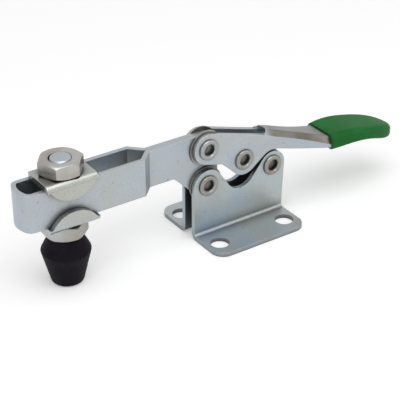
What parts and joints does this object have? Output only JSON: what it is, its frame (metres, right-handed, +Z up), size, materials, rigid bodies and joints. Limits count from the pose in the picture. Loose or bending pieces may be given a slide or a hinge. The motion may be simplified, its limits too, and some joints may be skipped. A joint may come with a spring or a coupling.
{
  "type": "toggle clamp",
  "caption": "Hold-down toggle clamp: a low handle and linkage swing a slotted bar arm that presses a rubber-tipped spindle onto the work.",
  "frame": {"origin": "centre of the four bolt holes, on the feet's underside", "axes": "+X towards the handle grip, +Y to the back, +Z up from the mounting face"},
  "size_m": [0.1465, 0.036, 0.0436],
  "materials": {
    "plated_steel": "bright zinc plate, satin",
    "rivet_steel": "satin nickel-grey plate",
    "tip_rubber": "moulded black rubber, matt",
    "grip_vinyl": "green dipped vinyl, satin"
  },
  "bodies": {
    "base": {"base_flange_front": "plated_steel", "base_flange_back": "plated_steel", "arm_pivot_rivet": "rivet_steel", "link_base_rivet": "rivet_steel", "arm_pivot_washer_front": "plated_steel", "arm_pivot_washer_back": "plated_steel", "link_base_washer_front": "plated_steel", "link_base_washer_back": "plated_steel"},
    "arm": {"clamping_arm": "plated_steel"},
    "handle": {"handle_lever": "plated_steel", "handle_grip": "grip_vinyl", "handle_pivot_rivet": "rivet_steel", "link_handle_stub_front": "rivet_steel", "link_handle_stub_back": "rivet_steel", "handle_pivot_washer_front": "plated_steel", "handle_pivot_washer_back": "plated_steel", "link_handle_washer_front": "plated_steel", "link_handle_washer_back": "plated_steel"},
    "link": {"link_front": "plated_steel", "link_back": "plated_steel", "link_pin_core": "rivet_steel"},
    "carriage": {"flanged_washer_top": "plated_steel", "flanged_washer_bottom": "plated_steel", "top_nut": "rivet_steel", "bottom_nut": "rivet_steel"},
    "spindle": {"spindle_stud": "rivet_steel", "spindle_tip": "tip_rubber"}
  },
  "joints": [
    {"name": "arm_swing", "type": "hinge", "parent": "base", "child": "arm", "pos_m": [-0.0123, 0, 0.019], "axis": [0, 1, 0], "range_deg": [0, 86]},
    {"name": "handle_lift", "type": "hinge", "parent": "arm", "child": "handle", "pos_m": [-0.0121, 0, 0.032], "axis": [0, -1, 0], "range_deg": [0, 162]},
    {"name": "link_swing", "type": "hinge", "parent": "base", "child": "link", "pos_m": [0.0135, 0, 0.0187], "axis": [0, 1, 0], "range_deg": [0, 57]},
    {"name": "spindle_shift", "type": "slide", "parent": "arm", "child": "carriage", "axis": [1, 0, 0], "range_m": [-0.0095, 0.0158]},
    {"name": "spindle_height", "type": "slide", "parent": "carriage", "child": "spindle", "axis": [0, 0, 1], "range_m": [-0.00423, 0]}
  ],
  "couplings": [
    {"joint": "handle_lift", "follows": "arm_swing", "ratio": 1.8787},
    {"joint": "link_swing", "follows": "arm_swing", "ratio": 0.6584}
  ]
}
